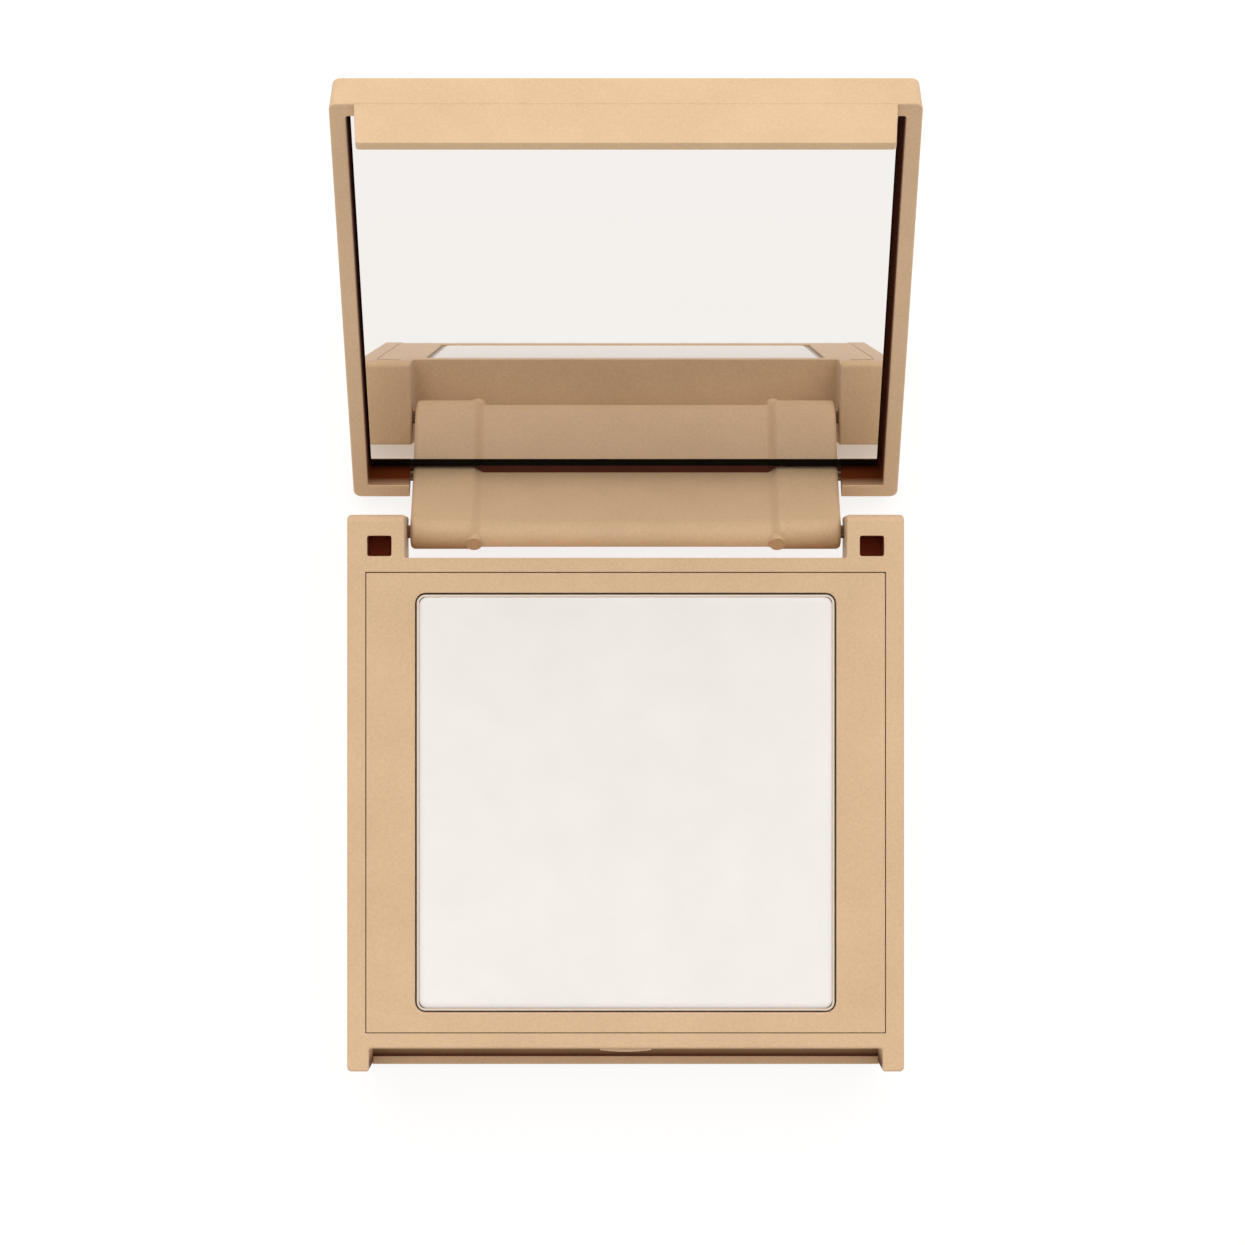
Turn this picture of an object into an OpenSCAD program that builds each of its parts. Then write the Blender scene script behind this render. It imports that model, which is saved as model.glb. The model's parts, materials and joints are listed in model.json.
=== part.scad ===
// Square powder compact. A low base holds one pan of pressed powder in a press-in tray. The lid
// carries a mirror and hangs on a two-axis link: the link turns on two short pins in the ears of
// the base, and the lid turns on two more pins at the far end of the link.
// Origin: centre of the underside of the base. +Z up, -Y towards the user, +X to the user's right.
// The compact is drawn open, resting against the end stop of its hinge.

/* [Case] */
// Width of the base and the lid, side to side
case_w = 64; // [63:0.5:68]
// Depth of the base, front to back
case_d = 64; // [63:0.5:68]
// Height of the base
base_h = 10; // [9.6:0.1:11]
// Radius of the upright corners
corner_r = 0.5; // [0.3:0.1:0.6]
// Thickness of the floor of the base
floor_t = 1.2; // [0.8:0.1:1.6]
// Radius along the top back edge of the ears
ear_round = 0.9; // [0.6:0.1:1.2]

/* [Tray and powder] */
// Width of the press-in tray
tray_w = 59.6; // [58:0.1:60]
// Depth of the press-in tray, front to back
tray_d = 52.8; // [52:0.1:53]
// Distance from the centre of the case back to the centre of the tray
tray_y = -1.1; // [-1.3:0.1:-1]
// Width of the seam around the tray
seam = 0.1; // [0.1:0.05:0.3]
// Thickness of the top plate of the tray
tray_t = 1.2; // [0.8:0.1:1.6]
// Width of the pan window
window_w = 48.4; // [44:0.2:50]
// Depth of the pan window, front to back
window_d = 48.2; // [44:0.2:48.4]
// Corner radius of the pan window
window_r = 1.2; // [0.8:0.1:3]
// Gap between the window and the pan
pan_gap = 0.2; // [0.15:0.05:0.4]
// Wall thickness of the metal pan
pan_wall = 0.25; // [0.2:0.05:0.5]
// Height of the metal pan
pan_h = 4; // [3:0.1:5]
// Distance from the top of the tray down to the rim of the pan
pan_drop = 0.3; // [0.1:0.1:0.8]
// Height of the powder above the rim of the pan
powder_crown = 0.15; // [0.05:0.05:0.2]

/* [Front] */
// Width of the recess between the two front arms
recess_w = 59; // [58.8:0.1:59.4]
// Depth of the recess behind the ends of the arms
recess_d = 2.65; // [2.4:0.05:3]
// Thickness of the shelf at the bottom of the recess
shelf_t = 0.8; // [0.6:0.1:1.2]
// Width of the raised lip along the front of the shelf
lip_w = 1; // [0.6:0.1:1.4]
// Height of the lip above the shelf
lip_h = 0.7; // [0.3:0.1:1]
// Width of the catch tab
tab_w = 5.9; // [4:0.1:10]
// How far the middle of the catch tab stands proud of the front rail
tab_out = 0.43; // [0.3:0.01:0.5]

/* [Hinge] */
// Width of the gap between the two ears
notch_w = 50.8; // [44:0.2:52]
// Depth of the gap between the two ears
notch_d = 4.97; // [4.9:0.01:5.1]
// Clearance at each end of the link
link_side_gap = 0.4; // [0.2:0.05:0.6]
// Distance from the back of the ears forward to the base pins
base_axis_in = 1.83; // [1.8:0.01:1.9]
// Height of the base pins above the underside
base_axis_z = 3.2; // [3.1:0.1:3.4]
// Radius of the link around the base pins
barrel_r = 2; // [1.8:0.05:2]
// Radius of the link around the lid pins
far_barrel_r = 1.15; // [1:0.05:1.15]
// Diameter of the base pins
base_pin_d = 1.5; // [1.2:0.1:1.6]
// Diameter of the lid pins
lid_pin_d = 1.2; // [1:0.1:1.2]
// Distance from the hinge end of the lid to the lid pins
lid_axis_s = 0.9; // [0.9:0.05:1]
// Depth of the lid pins below the rim of the lid
lid_axis_depth = 2.6; // [2.5:0.05:2.65]
// Rise of the open lid above level
lid_open_deg = 47.8; // [46:0.1:50]
// Fall of the open link below level
link_open_deg = 46.1; // [45:0.1:47]

/* [Lid] */
// Length of the lid, hinge end to front
lid_len = 61; // [61:0.1:61.2]
// Thickness of the lid from its outer face to its rim
lid_t = 4.5; // [4.4:0.1:5]
// Draft on each side of the lid: how much narrower the outer face is
lid_draft = 0.25; // [0:0.05:0.4]
// Thickness of the outer face of the lid
skin_t = 1; // [0.8:0.05:1.1]
// Width of the rim along the sides
rim_side = 1.75; // [1.5:0.05:1.8]
// Width of the rim at the front
rim_front = 1.84; // [1.5:0.05:2]
// Width of the rim at the hinge end
rim_hinge = 1.87; // [1.8:0.05:2]
// Width of the flap that hangs from the front of the lid
flap_w = 58.6; // [50:0.2:58.6]
// Height of the flap below the rim of the lid
flap_h = 6.2; // [4:0.1:6.4]
// Thickness of the flap
flap_t = 1.13; // [0.9:0.01:1.2]
// Gap left between the closed lid and the base
closed_gap = 0.1; // [0.1:0.05:0.2]

/* [Mirror] */
// Width of the mirror
mirror_w = 59.6; // [50:0.2:59.6]
// How far the mirror sits to the left of the middle
mirror_left = 0.18; // [0:0.02:0.3]
// Depth of the mirror below the rim of the lid
mirror_drop = 2.3; // [2.2:0.05:2.4]
// Distance from the hinge end of the lid to the edge of the mirror
mirror_s0 = 2.8; // [2.75:0.05:3]
// Thickness of the glass
glass_t = 1; // [0.8:0.05:1]
// Width of the dark unsilvered strip at the hinge end of the glass
bare_strip = 1.25; // [0.8:0.05:2]

/* [Hidden] */

LEFT = -1;
RIGHT = 1;
eps = 0.01;
tan_plastic = "#D8B692";
steel_grey = "#7A726A";

// Base
back_y = case_d / 2;
front_y = -case_d / 2;
ear_w = (case_w - notch_w) / 2;
rail_y = front_y + recess_d;
well_wall = 0.8;
well_floor = 0.8;
pan_w = window_w - 2 * pan_gap;
pan_d = window_d - 2 * pan_gap;
pan_r = window_r - pan_gap;
pan_rim_z = base_h - pan_drop;
pan_z = pan_rim_z - pan_h;
glue_t = 0.3;
well_z = pan_z - glue_t - well_floor;
window_y = tray_y;
tab_low = 2.8;
tab_high = 0.8;
tab_end_out = 0.24;
tab_rise = tab_out - tab_end_out;
tab_r = (tab_w * tab_w / 4 + tab_rise * tab_rise) / (2 * tab_rise);
ear_hole = [2.8, 2.35, 5.8];
ear_hole_x = 28.3 / 32 * case_w / 2;
ear_hole_y = back_y - 3.6;

// Hinge
axis_y = back_y - base_axis_in;
shut_rim_z = base_h + closed_gap;
shut_lid_axis_y = front_y + lid_len - lid_axis_s;
shut_rise = shut_rim_z + lid_axis_depth - base_axis_z;
link_len = sqrt(pow(axis_y - shut_lid_axis_y, 2) + pow(shut_rise, 2));
open_lid_axis_y = axis_y + link_len * cos(link_open_deg);
open_lid_axis_z = base_axis_z - link_len * sin(link_open_deg);
pin_press_gap = 0.01;
pin_run_gap = 0.03;
pin_reach = 3.1;
pin_bite = 4.4;
bore_extra = 0.15;
link_half_w = notch_w / 2 - link_side_gap;
knuckle_w = 6.9;
blend_w = 1.45;
blend_steps = 6;
web_drop = 0.65;
web_r = 2.35;
web_under = 1.4;
web_end = -0.4;
web_front = 1.75;
web_far_r = 0.55;
lug_d = 2;
lug_reach = 2.15;

// Lid and mirror: drawn flat with Y from the hinge end to the front and Z = 0 at the rim
link_notch_s = 2.35;
link_notch_depth = 3.95;
mirror_len = lid_len - rim_front - mirror_s0 - 0.15;
silver_t = 0.06;
tape_t = lid_t - skin_t - mirror_drop - glass_t - silver_t;
tape_margin = 4;
bead_r = 0.6;
bead_w = 6;
bead_depth = 3.7;
flap_corner_r = 0.4;

$fn = 64;

// ---- helpers ----

// A rectangle with round corners, centred on the origin
module round_rect(w, d, r) {
    square([w - 2 * r, d], center = true);
    square([w, d - 2 * r], center = true);
    for (x = [-1, 1], y = [-1, 1])
        translate([x * (w / 2 - r), y * (d / 2 - r)]) circle(r);
}

// A plate of that outline from z0 up to z1
module plate(w, d, r, z0, z1) {
    translate([0, 0, z0]) linear_extrude(z1 - z0) round_rect(w, d, r);
}

// A round bar along X from x0 to x1, drawn about the origin of the YZ plane
module bar(d, x0, x1) {
    translate([x0, 0, 0]) rotate([0, 90, 0]) cylinder(d = d, h = x1 - x0);
}

// Turns a profile drawn in (Y, Z) into a solid between x0 and x1
module across(x0, x1) {
    translate([x0, 0, 0]) rotate([90, 0, 90]) linear_extrude(x1 - x0) children();
}

// Moves what is drawn flat in lid coordinates to the open lid
module at_open_lid() {
    translate([0, open_lid_axis_y, open_lid_axis_z])
        rotate([lid_open_deg, 0, 0])
            translate([0, -lid_axis_s, lid_axis_depth])
                children();
}

// Moves what is drawn along +Y from the base pins to the open link
module at_open_link() {
    translate([0, axis_y, base_axis_z]) rotate([-link_open_deg, 0, 0]) children();
}

// ---- base ----

// Removes the sharp edge along the top back of the ears and leaves a radius
module ear_edge_cut() {
    across(-case_w, case_w)
        difference() {
            translate([back_y - ear_round, base_h - ear_round]) square(ear_round * 2);
            translate([back_y - ear_round, base_h - ear_round]) circle(ear_round);
        }
}

module catch_tab() {
    intersection() {
        translate([0, rail_y - tab_out + tab_r, base_h - tab_low])
            cylinder(r = tab_r, h = tab_low - tab_high, $fn = 180);
        translate([-tab_w / 2, rail_y - 1, 0]) cube([tab_w, 1.4, base_h]);
    }
}

module base_shell() {
    color(tan_plastic) {
        difference() {
            plate(case_w, case_d, corner_r, 0, base_h);
            // pocket for the tray
            translate([0, tray_y, 0])
                plate(tray_w + 2 * seam, tray_d + 2 * seam, seam, floor_t, base_h + 1);
            // gap between the ears, for the link
            translate([-notch_w / 2, back_y - notch_d, -1]) cube([notch_w, notch_d + 1, base_h + 2]);
            ear_edge_cut();
            // recess between the arms, with a lip along the front of its shelf
            translate([-recess_w / 2, front_y + lip_w, shelf_t])
                cube([recess_w, recess_d - lip_w, base_h]);
            translate([-recess_w / 2, front_y - 1, shelf_t + lip_h])
                cube([recess_w, lip_w + 1 + eps, base_h]);
            for (side = [LEFT, RIGHT]) {
                // bore for the base pin
                translate([0, axis_y, base_axis_z])
                    bar(base_pin_d + 2 * pin_press_gap,
                        side * notch_w / 2 - (side < 0 ? pin_reach + bore_extra : 1),
                        side * notch_w / 2 + (side < 0 ? 1 : pin_reach + bore_extra));
                // square coring hole in the top of the ear
                translate([side * ear_hole_x, ear_hole_y, base_h])
                    cube([ear_hole[0], ear_hole[1], 2 * ear_hole[2]], center = true);
            }
        }
        catch_tab();
    }
}

module tray_insert() {
    color(tan_plastic)
        difference() {
            union() {
                translate([0, tray_y, 0]) plate(tray_w, tray_d, 0.15, base_h - tray_t, base_h);
                translate([0, window_y, 0])
                    plate(window_w + 2 * well_wall, window_d + 2 * well_wall, window_r + well_wall,
                          well_z, base_h - tray_t + eps);
            }
            translate([0, window_y, 0])
                plate(window_w, window_d, window_r, well_z + well_floor, base_h + 1);
        }
}

module powder_pan() {
    color("silver")
        translate([0, window_y, 0])
            difference() {
                plate(pan_w, pan_d, pan_r, pan_z, pan_rim_z);
                plate(pan_w - 2 * pan_wall, pan_d - 2 * pan_wall, pan_r - pan_wall,
                      pan_z + pan_wall, pan_rim_z + 1);
            }
}

// The cake fills the pan and rises in two shallow steps to a flat top
module powder_cake() {
    inner_w = pan_w - 2 * pan_wall;
    inner_d = pan_d - 2 * pan_wall;
    step = 0.5;
    color("#F2ECE7")
        translate([0, window_y, 0]) {
            plate(inner_w, inner_d, pan_r - pan_wall, pan_z + pan_wall, pan_rim_z);
            plate(inner_w - step, inner_d - step, pan_r, pan_rim_z - eps, pan_rim_z + powder_crown / 2);
            plate(inner_w - 2 * step, inner_d - 2 * step, pan_r, pan_rim_z - eps,
                  pan_rim_z + powder_crown);
        }
}

module pan_glue_pad() {
    color("#CFC7A8")
        translate([0, window_y, pan_z - glue_t]) cylinder(d = 30, h = glue_t);
}

module base_hinge_pin(side) {
    inner = notch_w / 2 - link_side_gap - pin_bite;
    outer = notch_w / 2 + pin_reach;
    color(steel_grey)
        translate([0, axis_y, base_axis_z])
            bar(base_pin_d, side < 0 ? -outer : inner, side < 0 ? -inner : outer);
}

// ---- link ----

// Outline of a knuckle: two circles and the two lines that touch both
module knuckle_outline() {
    lean = asin((barrel_r - far_barrel_r) / link_len);
    near = barrel_r * [sin(lean), cos(lean)];
    far = [link_len, 0] + far_barrel_r * [sin(lean), cos(lean)];
    circle(barrel_r);
    translate([link_len, 0]) circle(far_barrel_r);
    polygon([near, far, [far[0], -far[1]], [near[0], -near[1]]]);
}

// Outline of the web: lower than the knuckles, shorter, and cut square at the front
module web_outline() {
    near_c = [0.3, barrel_r - web_drop - web_r];
    far_c = [link_len - web_end - web_far_r, 0];
    run = far_c[0] - near_c[0];
    rise = far_c[1] - near_c[1];
    span = sqrt(run * run + rise * rise);
    lean = asin((web_r - web_far_r) / span) + atan2(rise, run) * -1;
    top_near = near_c + web_r * [sin(lean), cos(lean)];
    top_far = far_c + web_far_r * [sin(lean), cos(lean)];
    intersection() {
        union() {
            translate(near_c) circle(web_r);
            polygon([top_near, top_far, [link_len - web_end, far_c[1]],
                     [link_len - web_end, -web_under], [near_c[0], -web_under], near_c]);
            translate(far_c) circle(web_far_r);
        }
        translate([-5, -web_under]) square([link_len + 5, 10]);
        rotate(link_open_deg) translate([-web_front, -20]) square(40);
    }
}

// Part of the web and part of the knuckle, for the blend between them
module blend_outline(part) {
    knuckle_side = 1 - part;
    intersection() {
        knuckle_outline();
        union() {
            web_outline();
            intersection() {
                knuckle_outline();
                translate([knuckle_side * 0.15 - barrel_r, -barrel_r])
                    square([link_len + 2 * barrel_r - knuckle_side * (far_barrel_r + web_end),
                            2 * barrel_r - knuckle_side * web_drop * 1.4]);
            }
        }
    }
}

module hinge_link() {
    knuckle_in = link_half_w - knuckle_w;
    web_half = knuckle_in - blend_w;
    step = blend_w / blend_steps;
    color(tan_plastic)
        at_open_link()
            difference() {
                union() {
                    across(-web_half, web_half) web_outline();
                    for (side = [LEFT, RIGHT]) {
                        across(side < 0 ? -link_half_w : knuckle_in,
                               side < 0 ? -knuckle_in : link_half_w)
                            knuckle_outline();
                        for (i = [0 : blend_steps - 1])
                            across(side < 0 ? -web_half - (i + 1) * step : web_half + i * step,
                                   side < 0 ? -web_half - i * step : web_half + (i + 1) * step)
                                blend_outline(sin(90 * (i + 0.5) / blend_steps) * 0.5
                                              + 0.5 * (i + 0.5) / blend_steps);
                        translate([side * (knuckle_in - blend_w / 3), -lug_reach, 0])
                            rotate([-90, 0, 0]) cylinder(d = lug_d, h = lug_reach);
                    }
                }
                for (side = [LEFT, RIGHT]) {
                    bar(base_pin_d + 2 * pin_run_gap,
                        side < 0 ? -link_half_w - 1 : link_half_w - pin_bite - bore_extra,
                        side < 0 ? -link_half_w + pin_bite + bore_extra : link_half_w + 1);
                    translate([0, link_len, 0])
                        bar(lid_pin_d + 2 * pin_run_gap,
                            side < 0 ? -link_half_w - 1 : link_half_w - pin_bite - bore_extra,
                            side < 0 ? -link_half_w + pin_bite + bore_extra : link_half_w + 1);
                }
            }
}

// ---- lid ----

module lid_hinge_pin(side) {
    inner = notch_w / 2 - link_side_gap - pin_bite;
    outer = notch_w / 2 + pin_reach;
    color(steel_grey)
        at_open_lid()
            translate([0, lid_axis_s, -lid_axis_depth])
                bar(lid_pin_d, side < 0 ? -outer : inner, side < 0 ? -inner : outer);
}

// The outer block of the lid, with a slight draft on its sides
module lid_block() {
    intersection() {
        translate([0, lid_len / 2, 0]) plate(case_w, lid_len, corner_r, -lid_t, 0);
        rotate([90, 0, 0])
            translate([0, 0, -lid_len - 1])
                linear_extrude(lid_len + 2)
                    polygon([[-case_w / 2, 0], [case_w / 2, 0],
                             [case_w / 2 - lid_draft, -lid_t], [-case_w / 2 + lid_draft, -lid_t]]);
    }
}

// The flap, with round lower corners and a low catch bead on its inner face
module lid_flap() {
    translate([0, lid_len, 0])
        rotate([90, 0, 0])
            linear_extrude(flap_t)
                translate([0, flap_h / 2 - 0.5]) round_rect(flap_w, flap_h + 1, flap_corner_r);
    translate([0, lid_len - flap_t + bead_r - 0.95, bead_depth])
        bar(2 * bead_r, -bead_w / 2, bead_w / 2);
}

module lid_shell() {
    inner_w = case_w - 2 * rim_side;
    inner_len = lid_len - rim_front - rim_hinge;
    color(tan_plastic)
        at_open_lid() {
            difference() {
                lid_block();
                // hollow for the mirror
                translate([0, rim_hinge + inner_len / 2, 0])
                    plate(inner_w, inner_len, 0.3, -lid_t + skin_t, 1);
                // gap for the link
                translate([-notch_w / 2, -1, -link_notch_depth])
                    cube([notch_w, link_notch_s + 1, lid_t]);
                for (side = [LEFT, RIGHT])
                    translate([0, lid_axis_s, -lid_axis_depth])
                        bar(lid_pin_d + 2 * pin_press_gap,
                            side * notch_w / 2 - (side < 0 ? pin_reach + bore_extra : 1),
                            side * notch_w / 2 + (side < 0 ? 1 : pin_reach + bore_extra));
            }
            lid_flap();
        }
}

// A flat layer of the mirror, from the distance s0 to the front end, between two depths
module mirror_layer(s0, w, top, t, margin = 0) {
    len = mirror_s0 + mirror_len - s0 - margin;
    at_open_lid()
        translate([-mirror_left, s0 + len / 2, -top - t])
            linear_extrude(t) round_rect(w - 2 * margin, len, 0.3);
}

module mirror_glass() {
    color("#C9D2D0") mirror_layer(mirror_s0, mirror_w, mirror_drop, glass_t);
}

module mirror_silver() {
    color("#E6E6E4")
        mirror_layer(mirror_s0 + bare_strip, mirror_w, mirror_drop + glass_t, silver_t);
}

module mirror_tape() {
    color("#EFEFEA")
        mirror_layer(mirror_s0 + tape_margin, mirror_w, mirror_drop + glass_t + silver_t, tape_t,
                     tape_margin);
}

base_shell();
tray_insert();
powder_pan();
powder_cake();
pan_glue_pad();
base_hinge_pin(LEFT);  // base_hinge_pin_left
base_hinge_pin(RIGHT);  // base_hinge_pin_right
hinge_link();
lid_hinge_pin(LEFT);  // lid_hinge_pin_left
lid_hinge_pin(RIGHT);  // lid_hinge_pin_right
lid_shell();
mirror_glass();
mirror_silver();
mirror_tape();
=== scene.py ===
# %% [markdown]
# # A square powder compact
#
# The engineering model of the compact is already made: a base with a press-in tray, a pan of
# pressed powder, a two-axis hinge link and a lid with a mirror. This lesson gives that model its
# looks. It loads the engineering model as a fixed frame, measures it, and then finishes each piece:
# the moulded plastic gets real edge radii, the powder gets its pressed crown, the mirror a strip
# painted black as shade where its silver stops, and the hinge pins their serrations. Painted shade
# also darkens the ear holes, the front recess and the lid's hollow. Every size is in metres.

# %% Load the frame
import json
import math

import bmesh
import bpy
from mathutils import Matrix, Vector

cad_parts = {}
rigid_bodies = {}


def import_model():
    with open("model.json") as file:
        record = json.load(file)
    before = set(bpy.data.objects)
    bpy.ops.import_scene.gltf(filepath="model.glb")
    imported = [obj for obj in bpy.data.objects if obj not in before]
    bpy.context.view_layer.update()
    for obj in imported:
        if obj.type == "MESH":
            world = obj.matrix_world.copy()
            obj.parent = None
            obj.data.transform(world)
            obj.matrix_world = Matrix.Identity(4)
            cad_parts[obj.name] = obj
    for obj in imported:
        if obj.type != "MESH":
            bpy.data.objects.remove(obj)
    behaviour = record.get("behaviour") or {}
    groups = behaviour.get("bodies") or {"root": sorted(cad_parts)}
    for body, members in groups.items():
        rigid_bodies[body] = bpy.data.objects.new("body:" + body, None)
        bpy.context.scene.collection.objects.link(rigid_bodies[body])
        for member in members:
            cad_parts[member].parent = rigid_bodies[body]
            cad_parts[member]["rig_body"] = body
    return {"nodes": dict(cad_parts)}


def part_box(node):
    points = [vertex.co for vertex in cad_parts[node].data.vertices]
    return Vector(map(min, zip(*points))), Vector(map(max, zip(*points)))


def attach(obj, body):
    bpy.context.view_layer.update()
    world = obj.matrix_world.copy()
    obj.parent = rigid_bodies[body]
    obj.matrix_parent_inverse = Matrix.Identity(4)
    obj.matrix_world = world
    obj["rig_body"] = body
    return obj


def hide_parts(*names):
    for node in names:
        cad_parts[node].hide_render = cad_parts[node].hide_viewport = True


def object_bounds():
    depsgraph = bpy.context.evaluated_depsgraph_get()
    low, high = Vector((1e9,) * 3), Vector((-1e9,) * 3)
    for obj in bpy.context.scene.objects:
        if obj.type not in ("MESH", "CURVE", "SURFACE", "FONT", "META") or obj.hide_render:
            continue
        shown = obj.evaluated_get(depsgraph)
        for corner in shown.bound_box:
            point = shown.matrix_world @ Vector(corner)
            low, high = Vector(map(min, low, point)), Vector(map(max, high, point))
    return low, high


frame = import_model()
CAD_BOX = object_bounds()
NODES = frame["nodes"]
MM = 0.001
print("CAD box, mm:", [[round(c / MM, 2) for c in corner] for corner in CAD_BOX])

# %% [markdown]
# ## Camera
#
# The compact is seen from straight above, which keeps the base an exact square and lets the mirror
# show what stands behind it. A long lens half a metre away keeps the perspective mild. The camera
# could sit anywhere over the object; it stands a little behind the middle of the base, so that
# the base and the leaning lid share the frame.

# %% Camera above the compact
SENSOR = 36.0
LENS = 126.96
CAMERA_HEIGHT = 504.3 * MM
CAMERA_BEHIND_CENTRE = 19.6 * MM
CAMERA_LEFT = 0.36 * MM

case_low, case_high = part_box("base_shell")
base_centre = (case_low + case_high) / 2
camera_data = bpy.data.cameras.new("camera")
camera_data.sensor_width = SENSOR
camera_data.lens = LENS
camera_data.clip_start = 0.01
camera_data.clip_end = 50
camera = bpy.data.objects.new("camera", camera_data)
camera.location = (base_centre.x - CAMERA_LEFT,
                   base_centre.y + CAMERA_BEHIND_CENTRE,
                   case_high.z + CAMERA_HEIGHT)
bpy.context.scene.collection.objects.link(camera)
bpy.context.scene.camera = camera
print("camera at, mm:", [round(c / MM, 1) for c in camera.location])

# %% [markdown]
# ## Light and floor
#
# A product shot on white uses a pale surround, one large soft light and a floor that glows a little
# from below, as a sheet of opal acrylic over a light table does. The soft light comes from behind
# and above, so faces that look up and back are the brightest and the rims of the leaning lid are a
# little darker. The surround is brightest near the horizon, where the mirror looks, and the glowing
# floor keeps the shadows pale. The floor is very wide, because the mirror looks along it. The back
# edge of the open lid hangs below the base, so the base stands on a low block of the same acrylic.
# The block glows faintly too: painted light that lifts its shaded back face, seen in the mirror
# under the ears.

# %% World, soft light and floor
HORIZON_STRENGTH = 1.06
ZENITH_STRENGTH = 0.62
KEY_STRENGTH = 2.25
KEY_ELEVATION = math.radians(54)
KEY_SIDE = math.radians(4)
KEY_SPREAD = math.radians(78)
FLOOR_GLOW = 0.78
# The block's glow is painted light that lifts its shaded back face.
BLOCK_GLOW = 0.15
BLOCK_W, BLOCK_D, BLOCK_Y = 62 * MM, 57.6 * MM, -2.2 * MM
FLOOR_HALF = 6.0
FLOOR_GAP = 0.02 * MM


def linear(hex_colour):
    """An sRGB hex colour, such as "D8B692", as linear red, green, blue and alpha."""
    channels = [int(hex_colour[i:i + 2], 16) / 255 for i in (0, 2, 4)]
    straight = [c / 12.92 if c <= 0.04045 else ((c + 0.055) / 1.055) ** 2.4 for c in channels]
    return (*straight, 1.0)


def add_node(tree, kind, settings=None, links=None):
    """Adds a node. Settings fill its properties and inputs; links join inputs to sockets."""
    node = tree.nodes.new(kind)
    for name, value in (settings or {}).items():
        if isinstance(name, str) and hasattr(node, name):
            setattr(node, name, value)
        else:
            node.inputs[name].default_value = value
    for name, socket in (links or {}).items():
        tree.links.new(socket, node.inputs[name])
    return node


def new_material(name):
    """An empty node material, with its tree."""
    material = bpy.data.materials.new(name)
    material.use_nodes = True
    material.node_tree.nodes.clear()
    return material, material.node_tree


def set_output(tree, shader):
    """Joins a shader to the material's output."""
    add_node(tree, "ShaderNodeOutputMaterial", links={"Surface": shader})


world = bpy.data.worlds.new("pale studio")
world.use_nodes = True
tree = world.node_tree
tree.nodes.clear()
sky = add_node(tree, "ShaderNodeTexCoord").outputs["Generated"]
height = add_node(tree, "ShaderNodeSeparateXYZ", links={"Vector": sky}).outputs["Z"]
strength = add_node(tree, "ShaderNodeMapRange", {
    "From Min": 0.1, "From Max": 0.7, "To Min": HORIZON_STRENGTH, "To Max": ZENITH_STRENGTH},
    {"Value": height}).outputs["Result"]
pale = add_node(tree, "ShaderNodeBackground", {"Color": linear("FFFFFF")}, {"Strength": strength})
add_node(tree, "ShaderNodeOutputWorld", links={"Surface": pale.outputs["Background"]})
bpy.context.scene.world = world
bpy.context.scene.view_settings.view_transform = "Standard"

key_data = bpy.data.lights.new("soft light", "SUN")
key_data.energy = KEY_STRENGTH
key_data.angle = KEY_SPREAD
key = bpy.data.objects.new("soft light", key_data)
key_from = Vector((math.sin(KEY_SIDE) * math.cos(KEY_ELEVATION),
                   math.cos(KEY_SIDE) * math.cos(KEY_ELEVATION), math.sin(KEY_ELEVATION)))
key.rotation_euler = key_from.to_track_quat("Z", "Y").to_euler()
bpy.context.scene.collection.objects.link(key)

floor_material, tree = new_material("opal acrylic, lit from below")
set_output(tree, add_node(tree, "ShaderNodeBsdfPrincipled", {
    "Base Color": linear("828282"), "Roughness": 0.9, "Specular IOR Level": 0.0,
    "Emission Color": linear("FFFEFD"), "Emission Strength": FLOOR_GLOW}).outputs[0])
floor_z = CAD_BOX[0][2] - FLOOR_GAP
floor_mesh = bpy.data.meshes.new("floor")
floor_mesh.from_pydata([(x * FLOOR_HALF, y * FLOOR_HALF, floor_z)
                        for x, y in ((-1, -1), (1, -1), (1, 1), (-1, 1))], [], [(0, 1, 2, 3)])
floor = bpy.data.objects.new("floor", floor_mesh)
floor.data.materials.append(floor_material)
bpy.context.scene.collection.objects.link(floor)

block_material, tree = new_material("opal acrylic block, painted glow")
set_output(tree, add_node(tree, "ShaderNodeBsdfPrincipled", {
    "Base Color": linear("E4DCD4"), "Roughness": 0.9, "Specular IOR Level": 0.0,
    "Emission Color": linear("FFFEFD"), "Emission Strength": BLOCK_GLOW}).outputs[0])
block_shape = bmesh.new()
bmesh.ops.create_cube(block_shape, size=1.0)
for corner in block_shape.verts:
    drop = 0.5 - corner.co.z
    corner.co = Vector((corner.co.x * BLOCK_W, BLOCK_Y + corner.co.y * BLOCK_D,
                        drop * (floor_z + 2 * FLOOR_GAP) - FLOOR_GAP))
block_mesh = bpy.data.meshes.new("block")
block_shape.to_mesh(block_mesh)
block_shape.free()
block = bpy.data.objects.new("block", block_mesh)
block.data.materials.append(block_material)
bpy.context.scene.collection.objects.link(block)
print("floor at, mm:", round(floor_z / MM, 2))

# %% [markdown]
# ## Finishes
#
# ### Soft-touch plastic
#
# The case is moulded ABS with a soft-touch matt finish: a very fine spark-eroded texture in the
# mould and a rubbery lacquer on top. To the eye that is one even tan with no sharp highlight, a faint
# paler bloom at grazing angles and a grain that is only just visible.


# %% Soft-touch plastic
def per_mm(size_mm):
    """The Scale of a texture whose features are that many millimetres across."""
    return 1000.0 / size_mm


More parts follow.
